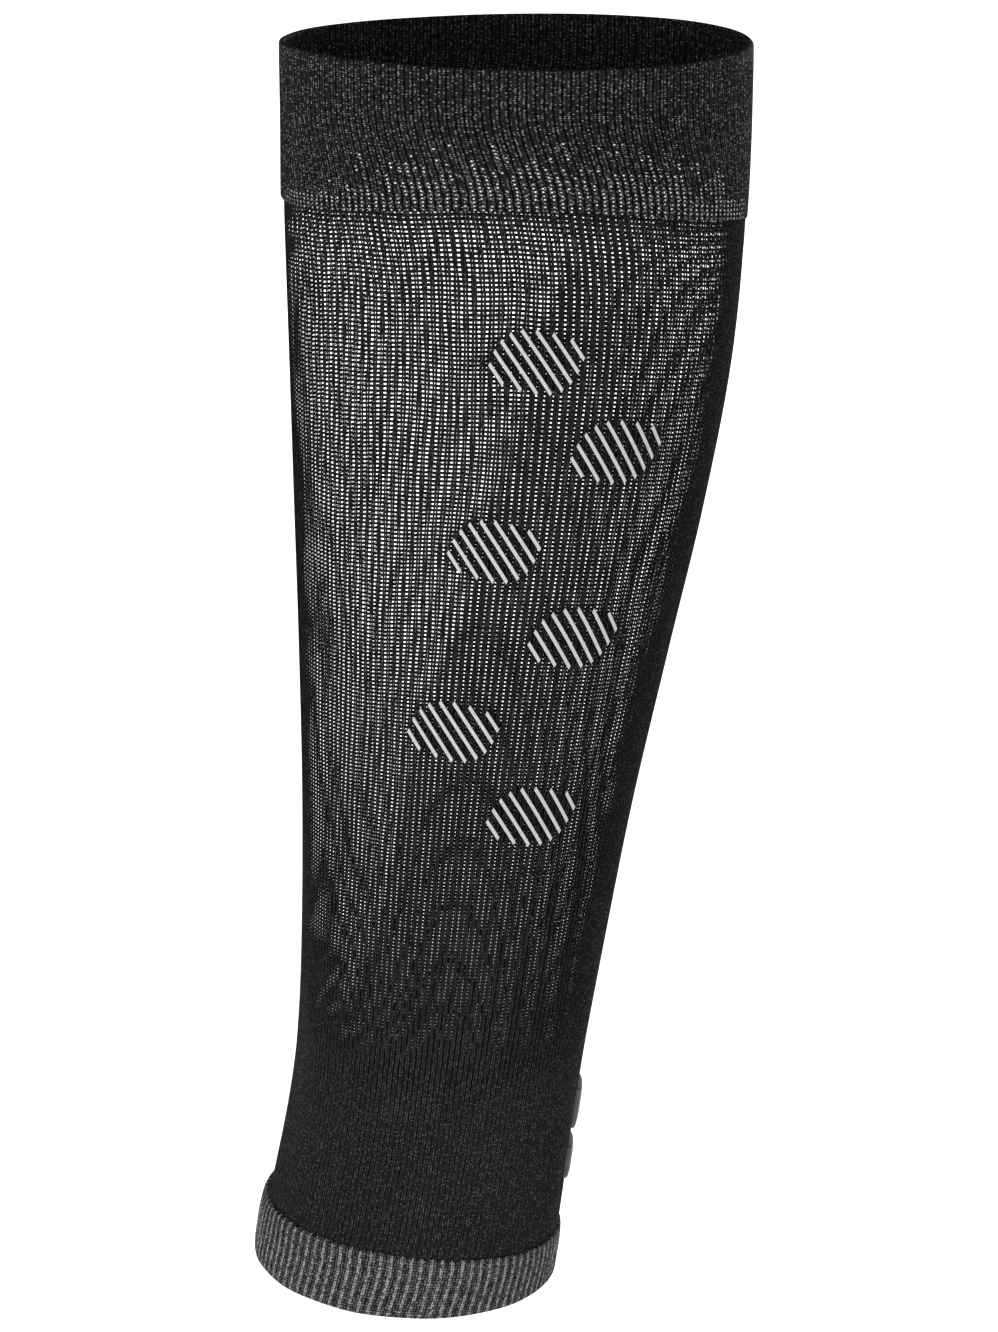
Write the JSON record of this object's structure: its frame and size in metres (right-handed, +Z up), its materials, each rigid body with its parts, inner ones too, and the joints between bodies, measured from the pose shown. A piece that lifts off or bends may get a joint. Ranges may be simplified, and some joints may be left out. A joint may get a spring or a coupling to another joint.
{
  "type": "calf compression sleeve",
  "caption": "Knitted calf compression sleeve standing as worn: a see-through net tube with a dense ribbed top band, a mottled ribbed ankle hem and a slanted-stroke print.",
  "frame": {"origin": "middle of the leg passage at the level of the hem's bottom ring, where the ankle passes out", "axes": "+Z up the leg, +X to the back of the calf, -X to the shin, -Y to the outer side with the print"},
  "size_m": [0.132, 0.1174, 0.3384],
  "materials": {
    "band_knit": "dense black rib knit, matt, with small glints",
    "net_knit": "black open net knit, matt",
    "hem_knit": "mottled grey rib knit, matt",
    "print": "light-grey film, satin",
    "raised_bar": "dark grey raised print, matt"
  },
  "bodies": {
    "root": {"top_band": "band_knit", "leg_tube": "net_knit", "ankle_hem": "hem_knit", "back_bar_upper": "raised_bar", "back_bar_lower": "raised_bar", "print_stroke_01": "print", "print_stroke_02": "print", "print_stroke_03": "print", "print_stroke_04": "print", "print_stroke_05": "print", "print_stroke_06": "print", "print_stroke_07": "print", "print_stroke_08": "print", "print_stroke_09": "print", "print_stroke_10": "print", "print_stroke_11": "print", "print_stroke_12": "print", "print_stroke_13": "print", "print_stroke_14": "print", "print_stroke_15": "print", "print_stroke_16": "print", "print_stroke_17": "print", "print_stroke_18": "print", "print_stroke_19": "print", "print_stroke_20": "print", "print_stroke_21": "print", "print_stroke_22": "print", "print_stroke_23": "print", "print_stroke_24": "print", "print_stroke_25": "print", "print_stroke_26": "print", "print_stroke_27": "print", "print_stroke_28": "print", "print_stroke_29": "print", "print_stroke_30": "print", "print_stroke_31": "print", "print_stroke_32": "print", "print_stroke_33": "print", "print_stroke_34": "print", "print_stroke_35": "print", "print_stroke_36": "print", "print_stroke_37": "print", "print_stroke_38": "print", "print_stroke_39": "print", "print_stroke_40": "print", "print_stroke_41": "print", "print_stroke_42": "print", "print_stroke_43": "print", "print_stroke_44": "print", "print_stroke_45": "print", "print_stroke_46": "print", "print_stroke_47": "print", "print_stroke_48": "print"}
  },
  "joints": []
}
